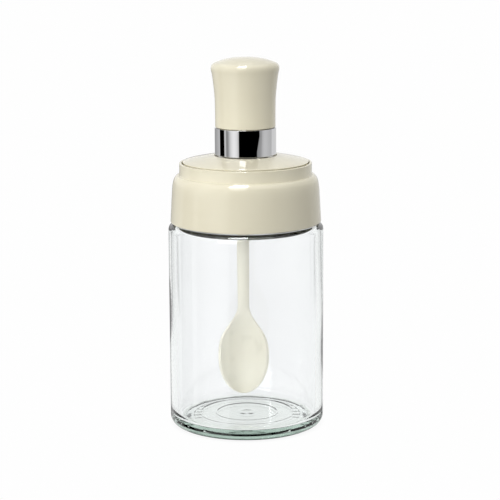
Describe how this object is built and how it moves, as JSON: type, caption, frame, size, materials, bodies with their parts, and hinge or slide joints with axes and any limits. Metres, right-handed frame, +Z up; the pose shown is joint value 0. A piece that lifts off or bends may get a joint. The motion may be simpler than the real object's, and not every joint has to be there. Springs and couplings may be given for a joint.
{
  "type": "spice jar",
  "caption": "Round clear glass spice jar with a screw-on collar and a lift-out lid that carries a knob and a hanging spoon.",
  "frame": {"origin": "middle of the ring that the jar stands on, on the floor plane", "axes": "+Z up along the jar's axis, the spoon's hollow side faces -Y"},
  "size_m": [0.07, 0.07, 0.1673],
  "materials": {
    "clear_glass": "clear, polished",
    "cream_gloss": "gloss",
    "inner_plastic": "satin",
    "soft_seal": "matt translucent",
    "chrome": "polished",
    "spoon_plastic": "satin gloss"
  },
  "bodies": {
    "jar": {"glass_jar": "clear_glass"},
    "gasket": {"neck_gasket": "soft_seal"},
    "collar": {"collar_insert": "inner_plastic", "collar_shell": "cream_gloss"},
    "seal": {"plug_seal": "soft_seal"},
    "lid": {"lid_plug": "inner_plastic", "lid_disc": "cream_gloss", "chrome_band": "chrome", "knob": "cream_gloss", "spoon": "spoon_plastic"}
  },
  "joints": [
    {"name": "collar_rise", "type": "slide", "parent": "jar", "child": "gasket", "axis": [0, 0, 1], "range_m": [0, 0.0056]},
    {"name": "collar_turn", "type": "hinge", "parent": "gasket", "child": "collar", "pos_m": [0, 0, 0.1], "axis": [0, 0, 1], "range_deg": [0, 396]},
    {"name": "lid_lift", "type": "slide", "parent": "collar", "child": "seal", "axis": [0, 0, 1], "range_m": [0, 0.12]},
    {"name": "lid_turn", "type": "hinge", "parent": "seal", "child": "lid", "pos_m": [0, 0, 0.12], "axis": [0, 0, 1], "continuous": true}
  ],
  "couplings": [
    {"joint": "collar_rise", "follows": "collar_turn", "m_per_rad": 0.00079577}
  ]
}
